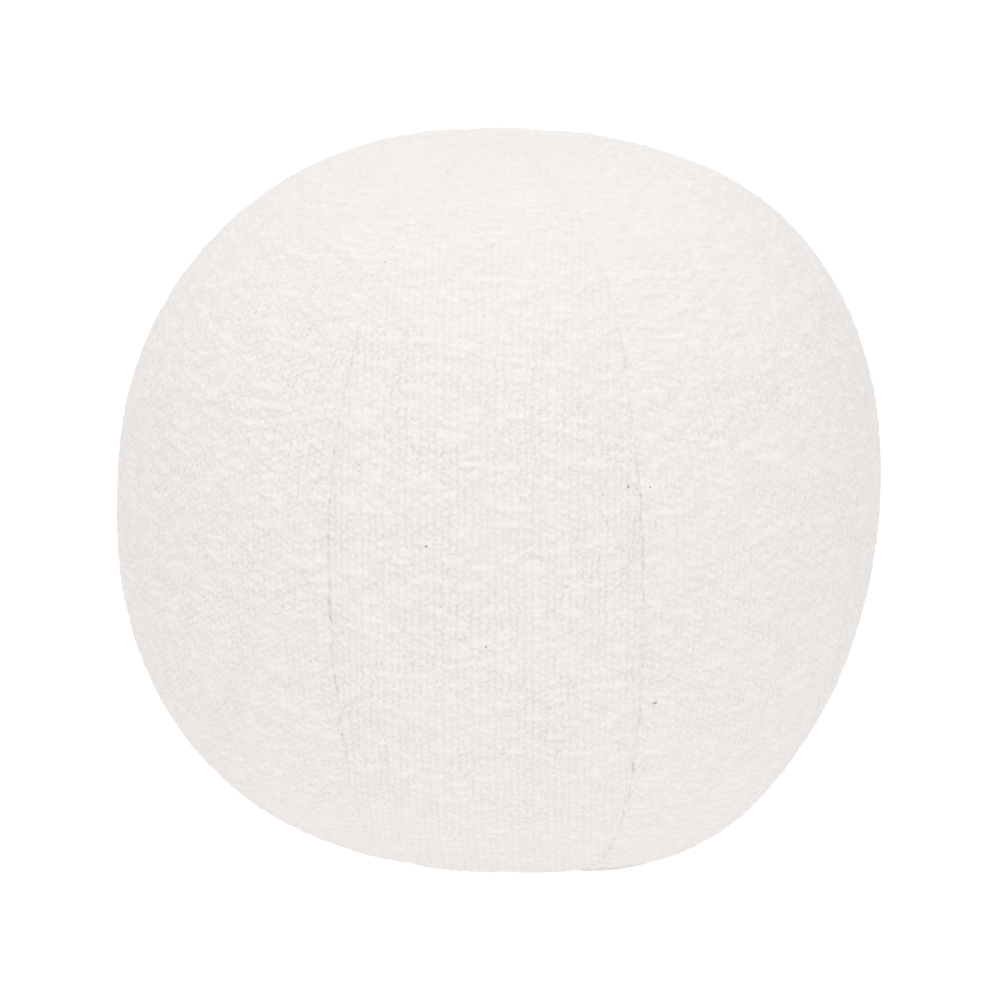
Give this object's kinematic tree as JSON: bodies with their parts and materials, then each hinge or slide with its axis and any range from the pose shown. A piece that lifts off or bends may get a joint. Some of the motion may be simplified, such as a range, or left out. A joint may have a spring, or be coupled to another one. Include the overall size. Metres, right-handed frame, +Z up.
{
  "type": "ball pillow",
  "caption": "Round ball pillow of leaf-shaped cloth gores sewn edge to edge in chunky off-white boucle, filled firm, with a small flat spot to rest on.",
  "frame": {"origin": "middle of the flat spot the ball rests on", "axes": "+Z up through the points where the gores meet; -Y faces the first gore, which the camera sees"},
  "size_m": [0.3045, 0.3012, 0.2788],
  "materials": {
    "boucle": "chunky looped plain weave, matt, with a soft nap"
  },
  "bodies": {
    "root": {"gore_1": "boucle", "gore_2": "boucle", "gore_3": "boucle", "gore_4": "boucle", "gore_5": "boucle", "gore_6": "boucle", "gore_7": "boucle", "gore_8": "boucle"}
  },
  "joints": []
}
